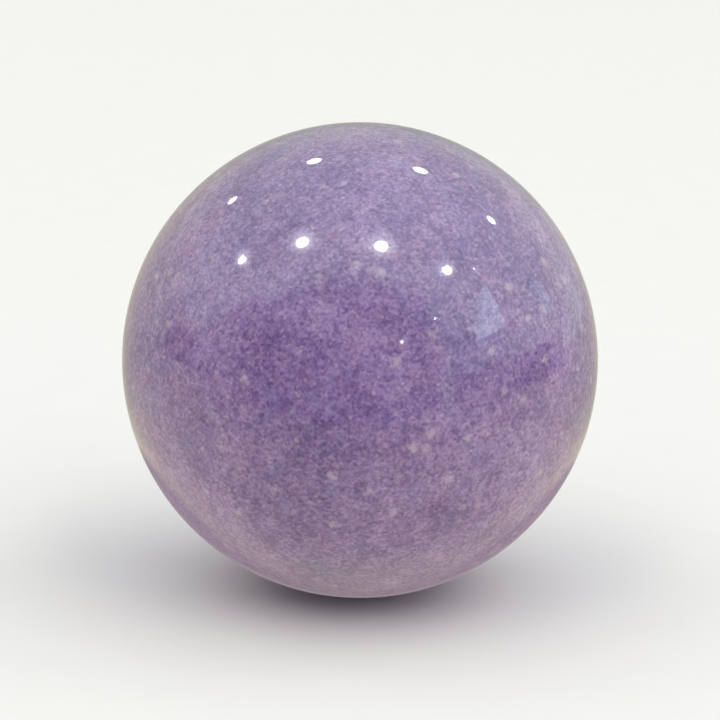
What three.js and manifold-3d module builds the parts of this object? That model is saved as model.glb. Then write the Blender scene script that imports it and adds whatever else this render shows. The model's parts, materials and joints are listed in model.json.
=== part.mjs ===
// A rubber play ball, 216 mm across: two moulded cover halves over an inner ply, a thread winding and a
// bladder, with a plug valve. Millimetres, +Z up, origin under the ball's centre on the ground.
// The layers are turned about the valve's own axis, +Y in the ball's frame, and the whole ball is then
// tipped so that the valve points a little below level, as the heavier side settles.
import * as THREE from "three";
import { mergeVertices } from "three/addons/utils/BufferGeometryUtils.js";
import Module from "manifold-3d";

const wasm = await Module();
wasm.setup();

// Ball
const BALL_RADIUS = 108;
const REST_TILT = 12; // degrees that the valve axis points below level
const CONTACT_DEPTH = 0.5; // how far the ball's own weight flattens it where it stands
const LAYER_GAP = 0.3;
const PARTING_GAP = 0.3; // between the two halves of the cover, and of the inner ply

// Layer thicknesses, from the outside inwards
const COVER_THICKNESS = 1.5;
const PLY_THICKNESS = 0.5;
const WINDING_THICKNESS = 0.5;
const BLADDER_THICKNESS = 0.7;

// Facets: the layers under the cover use every second line of the cover's grid, so they nest in it
const COVER_STEP = 6; // degrees, along a meridian and around the axis
const LAYER_STEP = 12;
const VALVE_STEP = 12;

// Valve, from the outside inwards
const VALVE_TOP = BALL_RADIUS - 0.1; // the mouth lies just below the cover's face
const NECK_RADIUS = 6;
const VALVE_HOLE_RADIUS = NECK_RADIUS + LAYER_GAP;
const PATCH_RADIUS = 24;
const PATCH_THICKNESS = 1;
const FLANGE_RADIUS = 15;
const FLANGE_THICKNESS = 1.5;
const HOUSING_TUBE_RADIUS = 5.5;
const HOUSING_LENGTH = 24;
const HEAD_RECESS_RADIUS = 4.6;
const HEAD_RECESS_DEPTH = 1.8;
const PLUG_BORE_RADIUS = 2.7;
const PLUG_BORE_DEPTH = 16;
const CORE_SEAT_RADIUS = 3.6;
const CORE_SEAT_DEPTH = 22;
const NEEDLE_HOLE_RADIUS = 1.8;

// Pieces inside the valve
const VALVE_CLEARANCE = 0.3;
const HEAD_THICKNESS = HEAD_RECESS_DEPTH - VALVE_CLEARANCE;
const PLUG_SHAFT_RADIUS = 2;
const PLUG_TIP_RADIUS = 1.3;
const PLUG_LENGTH = 14;
const RIB_COUNT = 3;
const RIB_PITCH = 3.2;
const RIB_HALF_HEIGHT = 0.5;
const NOTCH_RADIUS = 1.3; // the fingernail notch in the head's rim
const NOTCH_DEPTH = 0.8;
const FUNNEL_RADIUS = 1.6; // the core's lead-in for the needle
const FUNNEL_DEPTH = 1.8;
const SLIT_WIDTH = 0.3;
const SLIT_LENGTH = 2.6;

const coverInner = BALL_RADIUS - COVER_THICKNESS;
const plyOuter = coverInner - LAYER_GAP;
const plyInner = plyOuter - PLY_THICKNESS;
const windingOuter = plyInner - LAYER_GAP;
const windingInner = windingOuter - WINDING_THICKNESS;
const bladderOuter = windingInner - LAYER_GAP;
const bladderInner = bladderOuter - BLADDER_THICKNESS;
const patchOuter = bladderInner - LAYER_GAP;
const patchInner = patchOuter - PATCH_THICKNESS;
// The flange is flatter than the facets above it, so it keeps twice the gap at its rim.
const flangeOuter = patchInner - 2 * LAYER_GAP;
const flangeInner = flangeOuter - FLANGE_THICKNESS;

const degrees = THREE.MathUtils.degToRad;

// Angles along a meridian run from 0 at the ball's far pole to 180 at the valve.
const PARTING_ANGLE = 90;
const angleAtHole = (radius, hole) => 180 - THREE.MathUtils.radToDeg(Math.asin(hole / radius));

// The point of a sphere at an angle along the meridian, in the turning plane.
function onSphere(radius, angle) {
  return new THREE.Vector2(radius * Math.sin(degrees(angle)), -radius * Math.cos(degrees(angle)));
}

// The points of a meridian between two angles: both ends, and each grid line that lies between them.
function meridian(radius, from, to, step) {
  const points = [onSphere(radius, from)];
  for (let angle = step * (Math.floor(from / step) + 1); angle < to; angle += step) {
    points.push(onSphere(radius, angle));
  }
  points.push(onSphere(radius, to));
  return points;
}

// Turns a profile about +Y. The profile runs up its outer side and down its inner side.
function turned(points, step) {
  return new THREE.LatheGeometry(points, 360 / step);
}

// A profile that doesn't touch the axis is closed by repeating its first point.
function turnedRing(points, step) {
  return turned([...points, points[0].clone()], step);
}

function solidOf(geometry) {
  const bare = geometry.clone();
  bare.deleteAttribute("normal");
  bare.deleteAttribute("uv");
  const merged = mergeVertices(bare, 1e-4);
  return new wasm.Manifold(
    new wasm.Mesh({
      numProp: 3,
      vertProperties: new Float32Array(merged.attributes.position.array),
      triVerts: new Uint32Array(merged.index.array),
    }),
  );
}

function geometryOf(solid) {
  const mesh = solid.getMesh();
  const geometry = new THREE.BufferGeometry();
  geometry.setAttribute("position", new THREE.BufferAttribute(mesh.vertProperties, 3));
  geometry.setIndex(new THREE.BufferAttribute(mesh.triVerts, 1));
  geometry.computeVertexNormals();
  return geometry;
}

const cutFrom = (geometry, cutter) => geometryOf(solidOf(geometry).subtract(solidOf(cutter)));

// The half of a shell away from the valve: a bowl from the far pole to the parting plane.
function frontHalf(outer, inner, step) {
  const rim = new THREE.Vector2(0, -PARTING_GAP / 2);
  const outside = meridian(outer, 0, PARTING_ANGLE, step);
  const inside = meridian(inner, 0, PARTING_ANGLE, step).reverse();
  outside.at(-1).add(rim);
  inside[0].add(rim);
  return turned([...outside, ...inside], step);
}

// The half of a shell round the valve: from the parting plane to the valve hole.
function rearHalf(outer, inner, step) {
  const rim = new THREE.Vector2(0, PARTING_GAP / 2);
  const outside = meridian(outer, PARTING_ANGLE, angleAtHole(outer, VALVE_HOLE_RADIUS), step);
  const inside = meridian(inner, PARTING_ANGLE, angleAtHole(inner, VALVE_HOLE_RADIUS), step).reverse();
  outside[0].add(rim);
  inside.at(-1).add(rim);
  return turnedRing([...outside, ...inside], step);
}

// A whole shell in one piece, open only at the valve hole.
function wholeShell(outer, inner, step) {
  const outside = meridian(outer, 0, angleAtHole(outer, VALVE_HOLE_RADIUS), step);
  const inside = meridian(inner, 0, angleAtHole(inner, VALVE_HOLE_RADIUS), step).reverse();
  return turned([...outside, ...inside], step);
}

// The flat that the ball stands on, cut at the ground plane as it lies in the ball's tipped frame.
function coverRear() {
  const reach = 30;
  const ground = new THREE.BoxGeometry(2 * reach, 2 * reach, reach);
  ground.translate(0, 0, CONTACT_DEPTH - BALL_RADIUS - reach / 2);
  ground.rotateX(degrees(REST_TILT));
  return cutFrom(rearHalf(BALL_RADIUS, coverInner, COVER_STEP), ground);
}

// A dished disc that follows the bladder's inner face.
function valvePatch() {
  const rim = angleAtHole(patchOuter, PATCH_RADIUS);
  const outside = meridian(patchOuter, rim, angleAtHole(patchOuter, VALVE_HOLE_RADIUS), LAYER_STEP);
  const inside = meridian(patchInner, rim, angleAtHole(patchInner, VALVE_HOLE_RADIUS), LAYER_STEP);
  return turnedRing([...outside, ...inside.reverse()], LAYER_STEP);
}

// Depths are measured down the valve from its mouth.
const valvePoint = (radius, depth) => new THREE.Vector2(radius, VALVE_TOP - depth);

// A flanged tube with a recess for the plug's head, the plug's bore, the core's seat and a lip under it.
function valveHousing() {
  const outside = [
    valvePoint(HOUSING_TUBE_RADIUS, HOUSING_LENGTH),
    onSphere(flangeInner, angleAtHole(flangeInner, HOUSING_TUBE_RADIUS)),
    onSphere(flangeInner, angleAtHole(flangeInner, FLANGE_RADIUS)),
    onSphere(flangeOuter, angleAtHole(flangeOuter, FLANGE_RADIUS)),
    onSphere(flangeOuter, angleAtHole(flangeOuter, NECK_RADIUS)),
    valvePoint(NECK_RADIUS, 0),
  ];
  const inside = [
    valvePoint(HEAD_RECESS_RADIUS, 0),
    valvePoint(HEAD_RECESS_RADIUS, HEAD_RECESS_DEPTH),
    valvePoint(PLUG_BORE_RADIUS, HEAD_RECESS_DEPTH),
    valvePoint(PLUG_BORE_RADIUS, PLUG_BORE_DEPTH),
    valvePoint(CORE_SEAT_RADIUS, PLUG_BORE_DEPTH),
    valvePoint(CORE_SEAT_RADIUS, CORE_SEAT_DEPTH),
    valvePoint(NEEDLE_HOLE_RADIUS, CORE_SEAT_DEPTH),
    valvePoint(NEEDLE_HOLE_RADIUS, HOUSING_LENGTH),
  ];
  return turnedRing([...outside, ...inside], VALVE_STEP);
}

// A soft insert with a funnel for the needle and a slit right through it.
function valveCore() {
  const top = PLUG_BORE_DEPTH + VALVE_CLEARANCE;
  const bottom = CORE_SEAT_DEPTH - VALVE_CLEARANCE;
  const radius = CORE_SEAT_RADIUS - VALVE_CLEARANCE;
  const body = turned(
    [
      valvePoint(0, bottom),
      valvePoint(radius, bottom),
      valvePoint(radius, top),
      valvePoint(FUNNEL_RADIUS, top),
      valvePoint(0, top + FUNNEL_DEPTH),
    ],
    VALVE_STEP,
  );
  const slit = new THREE.BoxGeometry(SLIT_LENGTH, 2 * HOUSING_LENGTH, SLIT_WIDTH);
  slit.translate(0, VALVE_TOP, 0);
  return cutFrom(body, slit);
}

// A tapered shaft with ribs that grip the bore, and a flat head with a fingernail notch in its rim.
function valvePlug() {
  const ribRadius = PLUG_BORE_RADIUS - VALVE_CLEARANCE;
  const headRadius = HEAD_RECESS_RADIUS - VALVE_CLEARANCE;
  const profile = [
    valvePoint(0, PLUG_LENGTH),
    valvePoint(PLUG_TIP_RADIUS, PLUG_LENGTH),
    valvePoint(PLUG_SHAFT_RADIUS, PLUG_LENGTH - 1.5),
  ];
  for (let rib = RIB_COUNT; rib > 0; rib--) {
    const middle = HEAD_THICKNESS + rib * RIB_PITCH;
    profile.push(valvePoint(PLUG_SHAFT_RADIUS, middle + RIB_HALF_HEIGHT));
    profile.push(valvePoint(ribRadius, middle));
    profile.push(valvePoint(PLUG_SHAFT_RADIUS, middle - RIB_HALF_HEIGHT));
  }
  profile.push(valvePoint(PLUG_SHAFT_RADIUS, HEAD_THICKNESS));
  profile.push(valvePoint(headRadius, HEAD_THICKNESS));
  profile.push(valvePoint(headRadius, 0));
  profile.push(valvePoint(0, 0));
  const notch = new THREE.CylinderGeometry(NOTCH_RADIUS, NOTCH_RADIUS, 2 * NOTCH_DEPTH, 16);
  notch.translate(headRadius, VALVE_TOP, 0);
  return cutFrom(turned(profile, VALVE_STEP), notch);
}

const coverRubber = () => new THREE.MeshStandardMaterial({ color: 0x8a7499, roughness: 0.12, metalness: 0 });
const plyRubber = () => new THREE.MeshStandardMaterial({ color: 0x4a4450, roughness: 0.8, metalness: 0 });
const nylonThread = () => new THREE.MeshStandardMaterial({ color: 0xd8d2c2, roughness: 0.7, metalness: 0 });
const butylRubber = () => new THREE.MeshStandardMaterial({ color: 0x1d1c1f, roughness: 0.6, metalness: 0 });
const valveRubber = () => new THREE.MeshStandardMaterial({ color: 0x2a272c, roughness: 0.55, metalness: 0 });
const plugRubber = () => new THREE.MeshStandardMaterial({ color: 0x5d4a6b, roughness: 0.4, metalness: 0 });

const PIECES = {
  cover_front: [frontHalf(BALL_RADIUS, coverInner, COVER_STEP), coverRubber()],
  cover_rear: [coverRear(), coverRubber()],
  inner_ply_front: [frontHalf(plyOuter, plyInner, LAYER_STEP), plyRubber()],
  inner_ply_rear: [rearHalf(plyOuter, plyInner, LAYER_STEP), plyRubber()],
  thread_winding: [wholeShell(windingOuter, windingInner, LAYER_STEP), nylonThread()],
  bladder: [wholeShell(bladderOuter, bladderInner, LAYER_STEP), butylRubber()],
  valve_patch: [valvePatch(), butylRubber()],
  valve_housing: [valveHousing(), valveRubber()],
  valve_core: [valveCore(), valveRubber()],
  valve_plug: [valvePlug(), plugRubber()],
};

const ball = new THREE.Group();
ball.position.z = BALL_RADIUS - CONTACT_DEPTH;
ball.rotation.x = -degrees(REST_TILT);
for (const [name, [geometry, material]] of Object.entries(PIECES)) {
  const mesh = new THREE.Mesh(geometry, material);
  mesh.name = name;
  ball.add(mesh);
}

const part = new THREE.Group();
part.add(ball);
export default part;
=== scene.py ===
"""The rubber play ball's looks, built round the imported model. Metres, in the model's own frame."""

import json
import math
from collections import defaultdict

import bmesh
import bpy
from mathutils import Matrix, Vector


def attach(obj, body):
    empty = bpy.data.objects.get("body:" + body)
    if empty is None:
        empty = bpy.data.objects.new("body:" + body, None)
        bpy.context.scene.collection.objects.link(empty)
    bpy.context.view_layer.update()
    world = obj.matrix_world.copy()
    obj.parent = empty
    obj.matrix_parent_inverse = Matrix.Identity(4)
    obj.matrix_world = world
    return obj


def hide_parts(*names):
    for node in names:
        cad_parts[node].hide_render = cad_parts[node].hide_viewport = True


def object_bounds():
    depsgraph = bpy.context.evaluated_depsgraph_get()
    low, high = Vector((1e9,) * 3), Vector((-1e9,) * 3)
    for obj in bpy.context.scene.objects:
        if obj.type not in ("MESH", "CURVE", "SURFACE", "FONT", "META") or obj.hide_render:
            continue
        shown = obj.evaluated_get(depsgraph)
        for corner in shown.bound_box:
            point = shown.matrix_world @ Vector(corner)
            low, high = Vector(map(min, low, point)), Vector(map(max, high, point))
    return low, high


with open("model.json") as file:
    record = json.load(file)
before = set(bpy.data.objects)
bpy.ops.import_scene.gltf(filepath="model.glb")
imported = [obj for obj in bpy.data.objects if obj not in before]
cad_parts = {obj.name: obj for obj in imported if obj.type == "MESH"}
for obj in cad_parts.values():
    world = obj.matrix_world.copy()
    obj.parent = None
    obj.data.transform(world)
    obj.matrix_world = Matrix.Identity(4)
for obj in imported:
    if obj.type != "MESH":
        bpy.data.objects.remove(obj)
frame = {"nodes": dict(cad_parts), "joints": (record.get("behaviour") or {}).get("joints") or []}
cad_low, cad_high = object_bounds()

MM = 0.001


def add_object(name, data):
    made = bpy.data.objects.new(name, data)
    bpy.context.scene.collection.objects.link(made)
    return made


def add_shape(name, shape):
    """An object of a bmesh shape, which is freed."""
    mesh = bpy.data.meshes.new(name)
    shape.to_mesh(mesh)
    shape.free()
    return add_object(name, mesh)


# ---------------------------------------------------------------- the ball's place, from the frame

valve_axis = Vector(frame["joints"][0]["axis"]).normalized()
ball_radius = (cad_high.x - cad_low.x) / 2
contact_depth = 2 * ball_radius - (cad_high.z - cad_low.z)
ball_centre = Vector((0, 0, ball_radius - contact_depth))

# The turning frame: the ball's centre is its origin and +Y is the valve's axis.
valve_tilt = math.atan2(-valve_axis.z, valve_axis.y)
to_row = Matrix.Translation(ball_centre) @ Matrix.Rotation(-valve_tilt, 4, "X")
to_turning = to_row.inverted()

# ---------------------------------------------------------------- camera

CAMERA_ELEVATION = math.radians(13)
CAMERA_ROLL = math.radians(1.5)
CAMERA_DISTANCE = 1.1
BALL_SHARE = 0.661  # how much of the frame's width the ball fills


def make_camera():
    data = bpy.data.cameras.new("camera")
    limb = math.tan(math.asin(ball_radius / CAMERA_DISTANCE))
    data.lens = data.sensor_width / 2 * BALL_SHARE / limb
    camera = add_object("camera", data)
    back = Vector((0, -math.cos(CAMERA_ELEVATION), math.sin(CAMERA_ELEVATION)))
    camera.location = ball_centre + back * CAMERA_DISTANCE
    camera.rotation_mode = "QUATERNION"
    roll = Matrix.Rotation(CAMERA_ROLL, 3, back).to_quaternion()
    camera.rotation_quaternion = roll @ (-back).to_track_quat("-Z", "Y")
    bpy.context.scene.camera = camera


make_camera()

# ---------------------------------------------------------------- outlines, read from the turned CAD nodes

ON_SHAPE = 0.003 * MM  # how close to a plane or a sphere a CAD vertex lies to count as on it
AXIS_REACH = 0.2 * MM  # an outline's end this near the axis belongs on it
PAST_EQUATOR = math.radians(95)  # an arc from a pole that is longer than this passes the equator
CORNER_STEPS = 4
CORNER_SHARE = 0.35  # the most that a rounded corner takes of the line beside it
HOLD_SHARE = 1.25  # how far out the point that holds the face lies, in rounded parts


def outline_of(node):
    """The node's outline on one meridian, as (radius, height) points in order, from the frame's mesh.
    An outline that meets the axis runs from end to end; any other goes round once."""
    mesh = frame["nodes"][node].data
    found = {}
    for vertex in mesh.vertices:
        point = to_turning @ vertex.co
        if abs(point.x) < ON_SHAPE and point.z > -ON_SHAPE:
            found[vertex.index] = (round(point.z, 6) + 0.0, round(point.y, 6))
    neighbours = defaultdict(set)
    for edge in mesh.edges:
        a, b = (found.get(index) for index in edge.vertices)
        if a and b and a != b:
            neighbours[a].add(b)
            neighbours[b].add(a)
    ends = [point for point, others in neighbours.items() if len(others) == 1]
    outline = [min(ends or neighbours, key=lambda point: (point[1], point[0]))]
    while True:
        ahead = sorted(neighbours[outline[-1]] - set(outline))
        if not ahead:
            return [Vector(point) for point in outline]
        outline.append(ahead[-1])


def on_one_sphere(a, b):
    """Whether a true arc about the ball's centre joins two outline points."""
    return abs(a.length - b.length) < ON_SHAPE and min(a.length, b.length) > ball_radius / 2


def between(a, b, share):
    """A point on the way from a to b, along their sphere where they share one."""
    if not on_one_sphere(a, b):
        return a.lerp(b, share)
    first, last = math.atan2(a.x, -a.y), math.atan2(b.x, -b.y)
    angle = first + (last - first) * share
    return Vector((math.sin(angle), -math.cos(angle))) * a.length


def corners_of(outline):
    """The outline's real corners: the facets' corners along an arc are left out."""
    corners = []
    for index, point in enumerate(outline):
        before, after = outline[index - 1], outline[(index + 1) % len(outline)]
        at_axis = point.x < AXIS_REACH
        if at_axis or not (on_one_sphere(before, point) and on_one_sphere(point, after)):
            corners.append(Vector((0, point.y)) if at_axis else point)
    return corners


def rounded(before, corner, after, radius):
    """The corner as a short curve, with one more point on each side to hold the faces beside it."""
    share_in = min(radius / (corner - before).length, CORNER_SHARE)
    share_out = min(radius / (after - corner).length, CORNER_SHARE)
    start, end = between(corner, before, share_in), between(corner, after, share_out)
    points = [between(corner, before, HOLD_SHARE * share_in)]
    for step in range(CORNER_STEPS + 1):
        share = step / CORNER_STEPS
        points.append(start.lerp(corner, share).lerp(corner.lerp(end, share), share))
    points.append(between(corner, after, HOLD_SHARE * share_out))
    return points


def rings_of(outline, radius, arc_step):
    """The outline's points off the axis, with corners rounded and arcs true, and its ends on the axis."""
    corners = corners_of(outline)
    rings, ends = [], []
    for index, corner in enumerate(corners):
        before, after = corners[index - 1], corners[(index + 1) % len(corners)]
        if corner.x < AXIS_REACH:
            ends.append(corner)
            continue
        curve = rounded(before, corner, after, radius)
        if rings:
            rings.extend(arc_between(rings[-1], curve[0], arc_step))
        rings.extend(curve)
    if not ends:
        rings.extend(arc_between(rings[-1], rings[0], arc_step))
    else:
        rings = from_equator(ends[0], rings[0], arc_step) + rings
        rings += from_equator(ends[-1], rings[-1], arc_step)[::-1]
    return rings, ends


def from_equator(pole, ring, arc_step):
    """Where the arc from the pole to the first ring passes the equator, its points from there on."""
    if not on_one_sphere(pole, ring) or pole.angle(ring) < PAST_EQUATOR:
        return []
    equator = Vector((pole.length, 0))
    return [equator, *arc_between(equator, ring, arc_step)]


def arc_between(a, b, arc_step):
    """The points between a and b, without the two, on the sphere they share; none off it."""
    if not on_one_sphere(a, b):
        return []
    steps = max(1, round(a.angle(b) / arc_step))
    return [between(a, b, step / steps) for step in range(1, steps)]


# ---------------------------------------------------------------- turned meshes

SHARP_ANGLE = math.radians(40)


class Turning:
    """Vertices and faces of a surface turned about the valve's axis."""

    def __init__(self, segments):
        self.segments = segments
        self.points = []
        self.faces = []

    def add(self, radius, height, turn):
        self.points.append(Vector((radius * math.sin(turn), height, radius * math.cos(turn))))
        return len(self.points) - 1

    def ring(self, point):
        step = 2 * math.pi / self.segments
        return [self.add(point.x, point.y, step * count) for count in range(self.segments)]

    def band(self, lower, upper):
        for count in range(self.segments):
            after = (count + 1) % self.segments
            self.faces.append((lower[count], lower[after], upper[after], upper[count]))

    def cap(self, centre, rim, ring):
        """Closes a ring over the axis with a grid of quads, which has no pole."""
        cells = self.segments // 4
        step = 2 * math.pi / self.segments
        grid = {}
        for row in range(cells + 1):
            for column in range(cells + 1):
                u, v = 2 * column / cells - 1, 2 * row / cells - 1
                share = max(abs(u), abs(v))
                turn = square_turn(u, v)
                if row in (0, cells) or column in (0, cells):
                    grid[row, column] = ring[round(turn / step) % self.segments]
                else:
                    point = between(centre, rim, share)
                    grid[row, column] = self.add(point.x, point.y, turn)
        for row in range(cells):
            for column in range(cells):
                corners = ((row, column), (row, column + 1), (row + 1, column + 1), (row + 1, column))
                self.faces.append(tuple(grid[corner] for corner in corners))

    def mesh(self, name):
        """The finished mesh, moved from the turning frame to the ball's place."""
        mesh = bpy.data.meshes.new(name)
        mesh.from_pydata(self.points, [], self.faces)
        shape = bmesh.new()
        shape.from_mesh(mesh)
        bmesh.ops.recalc_face_normals(shape, faces=shape.faces)
        shape.to_mesh(mesh)
        shape.free()
        mesh.transform(to_row)
        return mesh


def square_turn(u, v):
    """The turn about the axis of a point of the square, so that its rim maps evenly to a circle."""
    if u == v == 0:
        return 0.0
    if abs(u) >= abs(v):
        return math.pi / 4 * v / u + (math.pi if u < 0 else 0)
    return math.pi / 2 - math.pi / 4 * u / v + (math.pi if v < 0 else 0)


def turned_piece(name, node, segments, corner_radius, arc_step):
    """A fine piece of the CAD node's own shape: its arcs true, its corners rounded."""
    rings, ends = rings_of(outline_of(node), corner_radius, arc_step)
    turning = Turning(segments)
    loops = [turning.ring(point) for point in rings]
    for lower, upper in zip(loops, loops[1:]):
        turning.band(lower, upper)
    if ends:
        turning.cap(ends[0], rings[0], loops[0])
        turning.cap(ends[-1], rings[-1], loops[-1])
    else:
        turning.band(loops[-1], loops[0])
    piece = add_object(name, turning.mesh(name))
    piece.data.shade_smooth()
    piece.data.set_sharp_from_angle(angle=SHARP_ANGLE)
    return piece


# ---------------------------------------------------------------- node graphs


class Graph:
    """A material's node tree with a single shader, and short ways to add nodes to it."""

    def __init__(self, name):
        self.material = bpy.data.materials.new(name)
        self.material.use_nodes = True
        self.tree = self.material.node_tree
        self.tree.nodes.clear()
        self.shader = self.tree.nodes.new("ShaderNodeBsdfPrincipled")
        output = self.tree.nodes.new("ShaderNodeOutputMaterial")
        self.tree.links.new(self.shader.outputs["BSDF"], output.inputs["Surface"])
        self.place = self.node("ShaderNodeTexCoord").outputs["Object"]

    def node(self, kind, inputs=None, **settings):
        made = self.tree.nodes.new(kind)
        for key, value in settings.items():
            setattr(made, key, value)
        self.feed(made, inputs or {})
        return made

    def feed(self, node, inputs):
        """Sets each named or numbered input, by a link where the value is another node's output."""
        for key, value in inputs.items():
            if isinstance(value, bpy.types.NodeSocket):
                self.tree.links.new(value, node.inputs[key])
            else:
                node.inputs[key].default_value = value

    def shade(self, **inputs):
        self.feed(self.shader, {key.replace("_", " "): value for key, value in inputs.items()})

    def math(self, operation, a, b=0.0):
        return self.node("ShaderNodeMath", {0: a, 1: b}, operation=operation).outputs[0]

    def warped(self, place, size, reach):
        """Points pushed about by noise, so that what is drawn at them has an uneven outline."""
        noise = self.node("ShaderNodeTexNoise", {"Vector": place, "Scale": 1 / size, "Detail": 2.0})
        centred = self.node(
            "ShaderNodeVectorMath", {0: noise.outputs["Color"], 1: (0.5, 0.5, 0.5)}, operation="SUBTRACT"
        )
        scaled = self.node(
            "ShaderNodeVectorMath", {0: centred.outputs[0], "Scale": 2 * reach}, operation="SCALE"
        )
        return self.node(
            "ShaderNodeVectorMath", {0: place, 1: scaled.outputs[0]}, operation="ADD"
        ).outputs[0]

    def noise(self, place, size, detail=2.0, roughness=0.5):
        inputs = {"Vector": place, "Scale": 1 / size, "Detail": detail, "Roughness": roughness}
        return self.node("ShaderNodeTexNoise", inputs).outputs["Fac"]

    def cells(self, place, size, **settings):
        return self.node("ShaderNodeTexVoronoi", {"Vector": place, "Scale": 1 / size}, **settings)

    def soft_cells(self, place, size):
        """A colour for each cell, which fades into its neighbours' colours."""
        inputs = {"Vector": place, "Scale": 1 / size, "Smoothness": 0.5}
        return self.node("ShaderNodeTexVoronoi", inputs, feature="SMOOTH_F1").outputs["Color"]

    def channels(self, color):
        return self.node("ShaderNodeSeparateColor", {"Color": color}).outputs

    def ramp(self, value, low, high, to_low=0.0, to_high=1.0, smooth=True):
        inputs = {"Value": value, "From Min": low, "From Max": high, "To Min": to_low, "To Max": to_high}
        kind = "SMOOTHSTEP" if smooth else "LINEAR"
        return self.node("ShaderNodeMapRange", inputs, interpolation_type=kind).outputs["Result"]

    def palette(self, value, colors):
        made = self.node("ShaderNodeValToRGB", {"Fac": value})
        stops = made.color_ramp.elements
        while len(stops) < len(colors):
            stops.new(1.0)
        for stop, (position, color) in zip(stops, colors):
            stop.position = position
            stop.color = color
        return made.outputs["Color"]

    def mix(self, share, a, b):
        return self.node("ShaderNodeMix", {0: share, 6: a, 7: b}, data_type="RGBA").outputs[2]

    def along(self, axis):
        """The place along one axis."""
        return self.node("ShaderNodeSeparateXYZ", {"Vector": self.place}).outputs[axis]

    def away_from(self, centre):
        """The distance from a centre."""
        measure = self.node("ShaderNodeVectorMath", {0: self.place, 1: centre}, operation="DISTANCE")
        return measure.outputs["Value"]

    def bump(self, height, depth, strength):
        inputs = {"Height": height, "Distance": depth, "Strength": strength}
        return self.node("ShaderNodeBump", inputs).outputs["Normal"]


# ---------------------------------------------------------------- materials

# The crumb's colours, from the darkest grains to the palest
GRAIN_COLORS = (
    (0.00, (0.084, 0.039, 0.17, 1)),
    (0.25, (0.16, 0.088, 0.267, 1)),
    (0.50, (0.267, 0.169, 0.372, 1)),
    (0.75, (0.374, 0.266, 0.472, 1)),
    (1.00, (0.478, 0.368, 0.563, 1)),
)
TINT_WARM = (0.34, 0.18, 0.34, 1)
TINT_COOL = (0.21, 0.17, 0.42, 1)
FLECK_CREAM = (0.52, 0.425, 0.52, 1)
GRAIN_SIZE = 1.4 * MM
COARSE_GRAIN_SIZE = 2.2 * GRAIN_SIZE
UNEVEN_SIZE = 1.6 * MM  # of the noise that makes the grains' outlines uneven
UNEVEN_REACH = 0.6 * MM
DRIFT_SIZE = 12 * MM
TINT_SIZE = 14 * MM
CLOUD_SIZE = 42 * MM
TONE_RANGE = (0.3175, 0.7375)  # the summed tones that are the darkest and the palest grain
FLECK_SPACING = 8 * MM
FLECK_STRENGTH = 0.62
PALE_GRAIN_SPACING = 3 * MM
PALE_GRAIN_STRENGTH = 0.5
SPOT_RIM = 0.22  # about what the raggedness adds, so that a spot ends near its radius
CRUMB_ROUGHNESS = 0.55
COAT_ROUGHNESS = 0.045
COAT_IOR = 1.5

RUBBER_GRAIN = 0.35 * MM
RUBBER_PATCH = 6 * MM
RUBBER_GRAIN_HEIGHT = 0.03 * MM

THREAD_WAVE = 220.0  # the wave texture's own scale, at which its waves are about 1.4 mm apart
THREAD_HEIGHT = 0.15 * MM
THREAD_SHADOW = (0.42, 0.37, 0.28, 1)
THREAD_LIGHT = (0.72, 0.67, 0.56, 1)
LATEX = (0.56, 0.45, 0.28, 1)
LATEX_PATCH = 5 * MM


def weighted(graph, *terms):
    """The sum of (value, weight) pairs."""
    total = 0.0
    for value, weight in terms:
        total = graph.node(
            "ShaderNodeMath", {0: value, 1: weight, 2: total}, operation="MULTIPLY_ADD"
        ).outputs[0]
    return total


def spot_mask(graph, spacing, smallest, largest, empty, soft):
    """Uneven spots, one to a cell and of random strength, their radii given in spacings. `empty` is
    the share of the cells that have none, and `soft` is how gradually a spot's rim fades."""
    place = graph.warped(graph.place, 0.3 * spacing, 0.28 * spacing)
    cells = graph.cells(place, spacing)
    pick = graph.channels(cells.outputs["Color"])
    reach = graph.ramp(pick[1], 0.0, 1.0, smallest, largest)
    ragged = graph.noise(graph.place, 0.22 * spacing, 2.0, 0.6)
    edge = weighted(graph, (cells.outputs["Distance"], -1.0), (reach, 1.0), (ragged, 0.5))
    body = graph.ramp(edge, SPOT_RIM, SPOT_RIM + soft)
    return graph.math("MULTIPLY", body, graph.ramp(pick[0], empty, 1.0))


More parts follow.
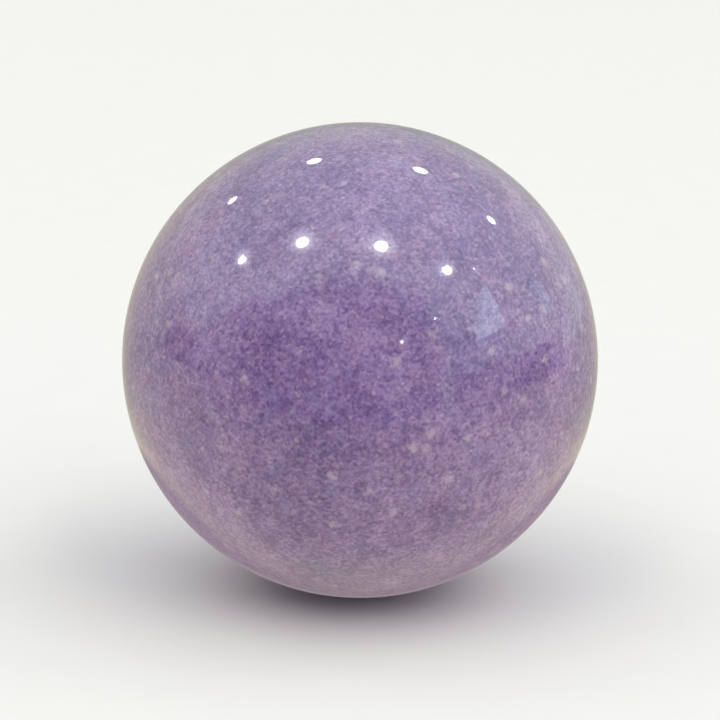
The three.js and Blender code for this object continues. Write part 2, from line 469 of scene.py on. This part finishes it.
def cover_material():
    """Rubber crumb in purples, with cream flecks, under a thick clear gloss coat."""
    graph = Graph("speckled_cover")
    uneven = graph.warped(graph.place, UNEVEN_SIZE, UNEVEN_REACH)
    fine = graph.channels(graph.soft_cells(uneven, GRAIN_SIZE))
    coarse = graph.channels(graph.soft_cells(uneven, COARSE_GRAIN_SIZE))
    dust = graph.noise(graph.place, GRAIN_SIZE, 2.0, 0.5)
    drift = graph.noise(graph.place, DRIFT_SIZE, 3.0, 0.6)
    cloud = graph.noise(graph.place, CLOUD_SIZE, 2.0, 0.5)
    tone = weighted(graph, (fine[0], 0.12), (coarse[0], 0.075), (dust, 0.34), (drift, 0.18), (cloud, 0.23))
    base = graph.palette(graph.ramp(tone, *TONE_RANGE, smooth=False), GRAIN_COLORS)
    hue = weighted(graph, (graph.noise(graph.place, TINT_SIZE, 3.0, 0.7), 0.75), (fine[1], 0.25))
    base = graph.mix(graph.ramp(hue, 0.52, 0.72, 0.0, 0.4), base, TINT_WARM)
    base = graph.mix(graph.ramp(hue, 0.48, 0.28, 0.0, 0.38), base, TINT_COOL)
    pale = spot_mask(graph, PALE_GRAIN_SPACING, smallest=0.08, largest=0.32, empty=0.5, soft=0.25)
    flecks = spot_mask(graph, FLECK_SPACING, smallest=0.08, largest=0.42, empty=0.05, soft=0.4)
    base = graph.mix(graph.math("MULTIPLY", pale, PALE_GRAIN_STRENGTH), base, FLECK_CREAM)
    base = graph.mix(graph.math("MULTIPLY", flecks, FLECK_STRENGTH), base, FLECK_CREAM)
    graph.shade(Base_Color=base, Roughness=CRUMB_ROUGHNESS)
    graph.shade(Coat_Weight=1.0, Coat_Roughness=COAT_ROUGHNESS, Coat_IOR=COAT_IOR)
    return graph.material


def plain_rubber(name, color, roughness):
    """Moulded rubber with a fine matt grain and faint dusty patches."""
    graph = Graph(name)
    grain = graph.noise(graph.place, RUBBER_GRAIN, 3.0, 0.6)
    patches = graph.noise(graph.place, RUBBER_PATCH, 3.0, 0.55)
    dark = tuple(0.7 * channel for channel in color)
    light = tuple(min(1.0, 1.25 * channel + 0.01) for channel in color)
    shade = graph.mix(graph.ramp(patches, 0.35, 0.7), (*dark, 1), (*light, 1))
    graph.shade(
        Base_Color=shade,
        Roughness=graph.ramp(grain, 0.3, 0.7, roughness - 0.08, roughness + 0.1),
        Normal=graph.bump(grain, RUBBER_GRAIN_HEIGHT, 0.5),
    )
    return graph.material


def thread_material():
    """Nylon thread wound every way round and set in latex."""
    graph = Graph("wound_thread")
    inputs = {"Vector": graph.place, "Scale": THREAD_WAVE, "Distortion": 6.0, "Detail": 1.0}
    wave = graph.node("ShaderNodeTexWave", inputs).outputs["Fac"]
    latex = graph.noise(graph.place, LATEX_PATCH, 3.0, 0.6)
    shade = graph.mix(wave, THREAD_SHADOW, THREAD_LIGHT)
    shade = graph.mix(graph.ramp(latex, 0.45, 0.7, 0.0, 0.6), shade, LATEX)
    graph.shade(Base_Color=shade, Roughness=0.6, Normal=graph.bump(wave, THREAD_HEIGHT, 0.6))
    return graph.material


# ---------------------------------------------------------------- pieces

COVER_SEGMENTS = 400
LAYER_SEGMENTS = 160
VALVE_SEGMENTS = 96
COVER_EDGE = 0.25 * MM
LAYER_EDGE = 0.12 * MM
VALVE_EDGE = 0.3 * MM
COVER_ARC_STEP = math.radians(1.8)
LAYER_ARC_STEP = math.radians(3.75)
NOTCH_RADIUS = 1.3 * MM
NOTCH_DEPTH = 0.8 * MM
SLIT_LENGTH = 2.6 * MM
SLIT_WIDTH = 0.3 * MM
SLIT_REACH = 40 * MM  # along the valve's axis, so that it passes right through the core
ON_BALL = 0.02 * MM  # how close to the ball's outer face a vertex lies to count as on it

# Each kind of plain rubber: its colour and its roughness
RUBBERS = {
    "ply_rubber": ((0.07, 0.06, 0.08), 0.8),
    "butyl_rubber": ((0.015, 0.015, 0.017), 0.6),
    "valve_rubber": ((0.03, 0.021, 0.036), 0.55),
    "core_rubber": ((0.17, 0.035, 0.022), 0.75),
    "plug_rubber": ((0.085, 0.052, 0.12), 0.4),
}


def rest_on_ground(piece):
    """The ball's weight flattens it where it stands."""
    for vertex in piece.data.vertices:
        vertex.co.z = max(vertex.co.z, 0.0)


def true_normals(piece):
    """Normals straight out from the centre all over the outer face, so that lamps look round in it."""
    normals = []
    for vertex in piece.data.vertices:
        arm = vertex.co - ball_centre
        outer = abs(arm.length - ball_radius) < ON_BALL and vertex.co.z > 0
        normals.append(arm.normalized() if outer else Vector())
    piece.data.normals_split_custom_set_from_vertices(normals)


def place(piece, node, body, slot, material):
    """Gives the piece its material and its body, and hides the CAD node that it replaces."""
    piece.data.materials.append(material)
    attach(piece, body)
    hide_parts(node)


def make_covers():
    material = cover_material()
    for side in ("front", "rear"):
        node = "cover_" + side
        piece = turned_piece(node + "_fine", node, COVER_SEGMENTS, COVER_EDGE, COVER_ARC_STEP)
        rest_on_ground(piece)
        true_normals(piece)
        place(piece, node, "ball", "cover_rubber", material)


def make_layers():
    ply = plain_rubber("ply_rubber", *RUBBERS["ply_rubber"])
    butyl = plain_rubber("butyl_rubber", *RUBBERS["butyl_rubber"])
    layers = (
        ("inner_ply_front", "ply_rubber", ply),
        ("inner_ply_rear", "ply_rubber", ply),
        ("thread_winding", "nylon_thread", thread_material()),
        ("bladder", "butyl_rubber", butyl),
        ("valve_patch", "butyl_rubber", butyl),
    )
    for node, slot, material in layers:
        piece = turned_piece(node + "_fine", node, LAYER_SEGMENTS, LAYER_EDGE, LAYER_ARC_STEP)
        place(piece, node, "ball", slot, material)


def cut(piece, shape, offset):
    """Cuts a shape, made in the turning frame and moved by the offset, out of the piece."""
    cutter = add_shape("cutter", shape)
    cutter.data.transform(to_row @ Matrix.Translation(offset))
    boolean = piece.modifiers.new("cut", "BOOLEAN")
    boolean.operation = "DIFFERENCE"
    boolean.object = cutter
    shaped = piece.evaluated_get(bpy.context.evaluated_depsgraph_get())
    piece.data = bpy.data.meshes.new_from_object(shaped)
    piece.modifiers.clear()
    bpy.data.objects.remove(cutter)


def cut_notch(plug):
    """The fingernail notch in the rim of the plug's head."""
    outline = outline_of("valve_plug")
    shape = bmesh.new()
    z_to_axis = Matrix.Rotation(math.pi / 2, 4, "X")
    bmesh.ops.create_cone(
        shape, cap_ends=True, segments=48, radius1=NOTCH_RADIUS, radius2=NOTCH_RADIUS,
        depth=2 * NOTCH_DEPTH, matrix=z_to_axis,
    )
    head_radius = max(point.x for point in outline)
    mouth = max(point.y for point in outline)
    cut(plug, shape, Vector((head_radius, mouth, 0)))


def cut_slit(core):
    """The slit that a needle opens, right through the core."""
    middle = max(point.y for point in outline_of("valve_core"))
    shape = bmesh.new()
    bmesh.ops.create_cube(shape, size=1, matrix=Matrix.Diagonal((SLIT_LENGTH, SLIT_REACH, SLIT_WIDTH, 1)))
    cut(core, shape, Vector((0, middle, 0)))


def make_valve():
    pieces = (
        ("valve_housing", "ball", "valve_rubber", None),
        ("valve_core", "ball", "core_rubber", cut_slit),
        ("valve_plug", "plug", "plug_rubber", cut_notch),
    )
    for node, body, slot, detail in pieces:
        piece = turned_piece(node + "_fine", node, VALVE_SEGMENTS, VALVE_EDGE, LAYER_ARC_STEP)
        if detail:
            detail(piece)
        place(piece, node, body, slot, plain_rubber(slot, *RUBBERS[slot]))


# ---------------------------------------------------------------- studio

FLOOR_SIZE = 60.0
FLOOR_COLORS = ((0.775, 0.78, 0.80, 1), (0.805, 0.81, 0.83, 1))
FLOOR_PATCH = 40 * MM
BACKDROP_RADIUS = 15.0
BACKDROP_COLOR = (0.84, 0.84, 0.83)
AIR_COLOR = (0.95, 0.97, 1.0, 1)
AIR_STRENGTH = 0.25

# Three wide soft lights: the way towards each, its colour and its strength
SOFTBOX_ANGLE = math.radians(100)
SOFTBOXES = {
    "softbox_top": ((0, -0.15, 1), (0.95, 0.98, 1.0), 1.75),
    "softbox_left": ((-1, -0.3, 0.45), (1.0, 0.93, 0.72), 1.05),
    "softbox_right": ((1, -0.3, 0.45), (1.0, 0.95, 0.8), 1.8),
}

# The room that the gloss reflects: flat panels by their two far corners, in metres from the ball's
# centre, with the light that each gives in its middle and, if that differs, towards the room's sides.
# It is seen only in reflections.
LEFT, RIGHT = -7, 4
FRONT, BACK = -1.15, 5
FOOT, CEILING = -0.8, 1.5
NEAR_END = 1.0  # where the ceiling turns dimmer, further back than the lamps
DARK_LEFT, DARK_RIGHT = -1.9, 0.9  # the unlit stretch of the front wall
CEILING_LIGHT = (0.85, 1.1, 0.95)
CEILING_FAR = (0.6, 0.71, 0.52)
BACK_LIGHT = (0.45, 0.5, 0.38)
UNLIT = (0.1, 0.05, 0.15)
ROOM = {
    "ceiling_near": ((LEFT, FRONT, CEILING), (RIGHT, NEAR_END, CEILING), CEILING_LIGHT),
    "ceiling_left": ((LEFT, NEAR_END, CEILING), (0, BACK, CEILING), CEILING_FAR, (0.86, 0.85, 0.68)),
    "ceiling_right": ((0, NEAR_END, CEILING), (RIGHT, BACK, CEILING), CEILING_FAR, (0.95, 1.02, 0.85)),
    "front_left": ((LEFT, FRONT, FOOT), (DARK_LEFT, FRONT, CEILING), (0.1, 0.1, 0.15)),
    "front_right": ((DARK_RIGHT, FRONT, FOOT), (RIGHT, FRONT, CEILING), (0.5, 0.75, 0.8)),
    "side_left": ((DARK_LEFT, FRONT, FOOT), (DARK_LEFT, 0.5, 0.3), UNLIT),
    "side_right": ((1.1, FRONT, FOOT), (1.1, 0.4, 0.12), UNLIT),
    "left": ((LEFT, FRONT, FOOT), (LEFT, BACK, CEILING), (0.72, 0.77, 0.55)),
    "right": ((RIGHT, FRONT, FOOT), (RIGHT, BACK, CEILING), (0.88, 1.0, 0.82)),
    "back_left": ((LEFT, BACK, FOOT), (0, BACK, CEILING), BACK_LIGHT, (0.66, 0.63, 0.46)),
    "back_right": ((0, BACK, FOOT), (RIGHT, BACK, CEILING), BACK_LIGHT, (0.66, 0.68, 0.58)),
    "window_glow": ((0.8, -1.12, 0.75), (1.75, -1.12, CEILING), (0.9, 1.25, 1.2)),
    "window_far": ((1.8, 0.4, 0.4), (1.8, 0.7, 0.8), (1.1, 1.7, 1.8)),
}
SIDES_FROM = 0.6  # how far from the middle a panel starts to turn to its side light
SIDES_AT = 2.2

WINDOW = ((1.8, -1.14, 0.6), (1.8, -0.45, 1.3))
WINDOW_LIGHT = (2.9, 4.0, 4.3)
WINDOW_DIM = (2.1, 2.9, 3.1)
WINDOW_EDGE = (1.3, 1.8, 1.8)
WINDOW_CLOUD = 0.25  # the size of the clouds in it
WINDOW_FADE = (-2.1, -1.7)  # the depth less the height where the light starts, and where it is full
HAZE = (1.6, -0.95, 1.49)  # the lit patch of ceiling by the window
HAZE_RADIUS = 0.55
HAZE_LIGHT = (2.6, 3.4, 3.5)

# The dark side of the room behind the camera, which is lit where it nears the ceiling
DARK_FRONT = ((DARK_LEFT, FRONT, FOOT), (DARK_RIGHT, FRONT, CEILING))
FRONT_DARK_TO = 1.0  # the height up to which that wall stays dark
FRONT_DARK = (0.04, 0.0, 0.12)
FRONT_LIT = (0.6, 0.75, 0.68)

# The table that the ball stands on, as the gloss shows it
TABLE_HEIGHT = -0.1
TABLE = ((LEFT, -0.4, TABLE_HEIGHT), (RIGHT, BACK, TABLE_HEIGHT))
TABLE_EDGE = (0.5, 0.45, 0.3)
TABLE_STEPS = (  # from and to which depth the table's light turns to the next one
    (-0.28, -0.18, (0.74, 0.69, 0.38)),
    (-0.12, -0.07, (1.03, 0.93, 0.66)),
    (0.02, 0.26, (0.6, 0.57, 0.44)),
)
TABLE_SHADE = (0.43, 0.35, 0.38)
SHADE_CENTRE = (0, 0.1, TABLE_HEIGHT)
SHADE_INNER = 0.14
SHADE_OUTER = 0.17

# The ceiling's lamps, in ceiling heights from above the ball: a near row, and the step to the far row
LAMP_DIAMETERS = (0.13, 0.11)  # the near row's and the far row's
LAMP_POWERS = (1.65, 0.6)  # watts
LAMP_ROW = ((-1.16, -0.16), (-0.47, -0.33), (0.14, -0.44), (0.79, -0.49))
ROW_STEP = (0.18, 1.0)
LAMP_REACH = 0.85  # how far along the way to the ceiling the lamps hang
GLOW_REACH = 0.87  # and the lit patches just behind them
GLOW_RADIUS = 0.26  # of the lit patch of ceiling round each lamp of the near row
GLOW_LIGHT = (11.5, 11.5, 11.5)

# Small lamps that make faint sparkles: their places, in metres from the ball's centre
SMALL_LAMPS = {
    "lamp_low_middle": (0.39, -1.1, 0.44),
    "lamp_low_right": (0.87, -1.1, 0.78),
    "lamp_high_right": (1.56, -0.4, 1.45),
}
SMALL_LAMP_DIAMETER = 0.032
SMALL_LAMP_POWER = 0.06  # watts


def add_sheet(name, corners):
    """A flat four-cornered sheet."""
    mesh = bpy.data.meshes.new(name)
    mesh.from_pydata(corners, [], [(0, 1, 2, 3)])
    return add_object(name, mesh)


def glowing_material(name, light):
    """A surface that only gives light: a colour, or what a function makes in the graph."""
    graph = Graph(name)
    color = light(graph) if callable(light) else (*light, 1)
    graph.shade(Base_Color=(0, 0, 0, 1), Specular_IOR_Level=0.0)
    graph.shade(Emission_Color=color, Emission_Strength=1.0)
    return graph.material


def hide_from(thing, *rays):
    """Hides a thing from the named kinds of rays."""
    for ray in rays:
        setattr(thing, "visible_" + ray, False)


def stage_for_gloss(thing):
    """Hides a thing from all rays but glossy ones, so that it shows in the gloss and nowhere else."""
    hide_from(thing, "camera", "diffuse", "shadow", "transmission")


def make_floor():
    half = FLOOR_SIZE / 2
    floor = add_sheet("floor", [(-half, -half, 0), (half, -half, 0), (half, half, 0), (-half, half, 0)])
    graph = Graph("pale_floor")
    patches = graph.noise(graph.place, FLOOR_PATCH, 4.0, 0.6)
    graph.shade(Base_Color=graph.mix(patches, *FLOOR_COLORS), Roughness=0.7, Specular_IOR_Level=0.2)
    floor.data.materials.append(graph.material)
    hide_from(floor, "glossy")


def make_backdrop():
    """A pale dome that only the camera sees, so that low views end in the floor's own tone."""
    shape = bmesh.new()
    bmesh.ops.create_uvsphere(shape, u_segments=64, v_segments=32, radius=BACKDROP_RADIUS)
    dome = add_shape("backdrop", shape)
    dome.data.materials.append(glowing_material("backdrop", BACKDROP_COLOR))
    hide_from(dome, "diffuse", "glossy", "shadow", "transmission")


def make_panel(name, low, high, light):
    """A flat panel that is level or upright, between two far corners."""
    (x0, y0, z0), (x1, y1, z1) = low, high
    if z0 == z1:
        corners = [(x0, y0, z0), (x1, y0, z0), (x1, y1, z0), (x0, y1, z0)]
    else:
        corners = [(x0, y0, z0), (x1, y1, z0), (x1, y1, z1), (x0, y0, z1)]
    panel = add_sheet(name, corners)
    panel.location = ball_centre
    panel.data.materials.append(glowing_material(name, light))
    stage_for_gloss(panel)


def towards_sides(middle, sides):
    """A light that turns from one colour in the middle to another towards the room's sides."""

    def light(graph):
        share = graph.ramp(graph.math("ABSOLUTE", graph.along("X")), SIDES_FROM, SIDES_AT)
        return graph.mix(share, (*middle, 1), (*sides, 1))

    return light


def table_light(graph):
    """Bright and warm close by, dimmer behind, and shaded under the ball."""
    depth = graph.along("Y")
    light = (*TABLE_EDGE, 1)
    for start, end, further in TABLE_STEPS:
        light = graph.mix(graph.ramp(depth, start, end), light, (*further, 1))
    lit = graph.ramp(graph.away_from(SHADE_CENTRE), SHADE_INNER, SHADE_OUTER)
    return graph.mix(lit, (*TABLE_SHADE, 1), light)


def front_light(graph):
    """Dark low down, and turning to lit towards the ceiling."""
    lit = graph.ramp(graph.along("Z"), FRONT_DARK_TO, CEILING)
    return graph.mix(lit, (*FRONT_DARK, 1), (*FRONT_LIT, 1))


def window_light(graph):
    """Clouded, and fading towards its upper near corner."""
    cloudy = graph.ramp(graph.noise(graph.place, WINDOW_CLOUD), 0.35, 0.6)
    light = graph.mix(cloudy, (*WINDOW_DIM, 1), (*WINDOW_LIGHT, 1))
    lit = graph.ramp(graph.math("SUBTRACT", graph.along("Y"), graph.along("Z")), *WINDOW_FADE)
    return graph.mix(lit, (*WINDOW_EDGE, 1), light)


def make_room():
    for name, (low, high, *lights) in ROOM.items():
        light = lights[0] if len(lights) == 1 else towards_sides(*lights)
        make_panel("room_" + name, low, high, light)
    make_panel("room_front", *DARK_FRONT, front_light)
    make_panel("room_table", *TABLE, table_light)
    make_panel("room_window", *WINDOW, window_light)
    make_glow("glow_window", ball_centre + Vector(HAZE), HAZE_RADIUS, HAZE_LIGHT)


def make_world():
    world = bpy.data.worlds.new("studio")
    world.use_nodes = True
    background = world.node_tree.nodes["Background"]
    background.inputs["Color"].default_value = AIR_COLOR
    background.inputs["Strength"].default_value = AIR_STRENGTH
    bpy.context.scene.world = world


def make_softboxes():
    """Lights that are the same all over the floor and leave no mark in the gloss."""
    for name, (towards, color, strength) in SOFTBOXES.items():
        data = bpy.data.lights.new(name, "SUN")
        data.angle = SOFTBOX_ANGLE
        data.color = color
        data.energy = strength
        light = add_object(name, data)
        light.rotation_mode = "QUATERNION"
        light.rotation_quaternion = Vector(towards).to_track_quat("Z", "Y")
        hide_from(light, "glossy")


def gloss_lamp(name, place, diameter, power):
    """A round lamp that only marks the gloss."""
    data = bpy.data.lights.new(name, "AREA")
    data.shape = "DISK"
    data.size = diameter
    data.energy = power
    light = add_object(name, data)
    light.location = place
    light.rotation_mode = "QUATERNION"
    light.rotation_quaternion = (ball_centre - place).to_track_quat("-Z", "Y")
    hide_from(light, "camera", "diffuse")


def make_glow(name, place, radius, middle):
    """A lit patch of ceiling: brightest in its middle and as dim as the ceiling at its rim."""

    def light(graph):
        share = graph.ramp(graph.away_from((0, 0, 0)), radius, 0.0, smooth=False)
        return graph.mix(graph.math("POWER", share, 2.0), (*CEILING_LIGHT, 1), (*middle, 1))

    shape = bmesh.new()
    bmesh.ops.create_circle(shape, cap_ends=True, segments=48, radius=radius)
    glow = add_shape(name, shape)
    glow.location = place
    glow.data.materials.append(glowing_material(name, light))
    stage_for_gloss(glow)


def make_lamps():
    for row, (diameter, power) in enumerate(zip(LAMP_DIAMETERS, LAMP_POWERS)):
        for column, (x, y) in enumerate(LAMP_ROW):
            spot = Vector((x + row * ROW_STEP[0], y + row * ROW_STEP[1], 1)) * CEILING
            gloss_lamp(f"lamp_{row}_{column}", ball_centre + LAMP_REACH * spot, diameter, power)
            if row == 0:
                make_glow(f"glow_{column}", ball_centre + GLOW_REACH * spot, GLOW_RADIUS, GLOW_LIGHT)
    for name, corner in SMALL_LAMPS.items():
        gloss_lamp(name, ball_centre + Vector(corner), SMALL_LAMP_DIAMETER, SMALL_LAMP_POWER)


bpy.context.scene.view_settings.view_transform = "Standard"
make_covers()
make_layers()
make_valve()
make_floor()
make_backdrop()
make_world()
make_softboxes()
make_room()
make_lamps()
